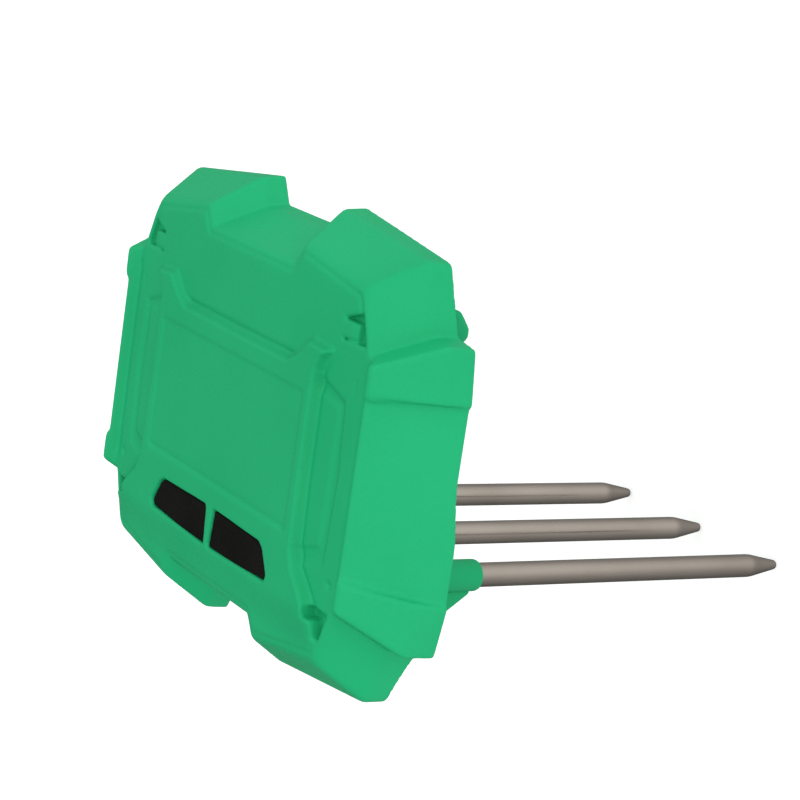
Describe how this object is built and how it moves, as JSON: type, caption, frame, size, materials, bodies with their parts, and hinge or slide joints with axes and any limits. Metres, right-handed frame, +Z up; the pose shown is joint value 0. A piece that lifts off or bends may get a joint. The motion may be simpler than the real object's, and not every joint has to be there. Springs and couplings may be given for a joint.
{
  "type": "soil moisture sensor",
  "caption": "Battery-powered soil moisture sensor: a clip-on moulded cover with push buttons over a tub-shaped housing, with steel probes that go into the soil.",
  "frame": {"origin": "middle of the flat underside of the housing, which rests on the soil when the probes are pushed in", "axes": "+Z up out of the soil and out of the face, +X to the right along the row of probes, +Y towards the top of the face, away from the buttons"},
  "size_m": [0.1386, 0.1116, 0.1525],
  "materials": {
    "green_cover": "fine spark-eroded grain, satin",
    "green_housing": "fine spark-eroded grain, satin",
    "button_rubber": "matte",
    "seal_rubber": "matte",
    "probe_steel": "brushed along the rod",
    "fastener_steel": "zinc plated",
    "contact_metal": "nickel plated",
    "brass": "satin",
    "circuit_board": "solder mask, satin",
    "black_plastic": "matte",
    "cell_sleeve": "glossy shrink sleeve",
    "red_insulation": "satin",
    "black_insulation": "satin"
  },
  "bodies": {
    "housing": {"rear_housing": "green_housing", "housing_gasket": "seal_rubber", "probe_left": "probe_steel", "probe_centre": "probe_steel", "probe_right": "probe_steel", "probe_seal_left": "seal_rubber", "probe_seal_centre": "seal_rubber", "probe_seal_right": "seal_rubber", "probe_terminal_left": "brass", "probe_terminal_centre": "brass", "probe_terminal_right": "brass", "probe_nut_left": "fastener_steel", "probe_nut_centre": "fastener_steel", "probe_nut_right": "fastener_steel", "main_board": "circuit_board", "board_screw_1": "fastener_steel", "board_screw_2": "fastener_steel", "board_screw_3": "fastener_steel", "board_screw_4": "fastener_steel", "radio_module": "contact_metal", "microcontroller": "black_plastic", "buffer_capacitor": "black_plastic", "antenna": "brass", "battery_holder": "black_plastic", "battery_cell_1": "cell_sleeve", "battery_cell_2": "cell_sleeve", "battery_cell_3": "cell_sleeve", "contact_spring_1": "contact_metal", "contact_spring_2": "contact_metal", "contact_spring_3": "contact_metal", "contact_plate_plus": "contact_metal", "contact_plate_bridge_right": "contact_metal", "contact_plate_bridge_left": "contact_metal", "contact_plate_minus": "contact_metal", "battery_lead_plus": "red_insulation", "battery_lead_minus": "black_insulation"},
    "cover": {"front_cover": "green_cover", "button_retainer": "black_plastic", "retainer_screw_left": "fastener_steel", "retainer_screw_right": "fastener_steel"},
    "left_button": {"button_left": "button_rubber", "contact_pill_left": "black_plastic"},
    "right_button": {"button_right": "button_rubber", "contact_pill_right": "black_plastic"}
  },
  "joints": [
    {"name": "cover_lift", "type": "slide", "parent": "housing", "child": "cover", "axis": [0, 0, 1], "range_m": [0, 0.05]},
    {"name": "left_button_press", "type": "slide", "parent": "cover", "child": "left_button", "axis": [0, 0, -1], "range_m": [0, 0.0009], "stiffness_N_per_m": 1200, "springref_m": -0.0005},
    {"name": "right_button_press", "type": "slide", "parent": "cover", "child": "right_button", "axis": [0, 0, -1], "range_m": [0, 0.0009], "stiffness_N_per_m": 1200, "springref_m": -0.0005}
  ]
}
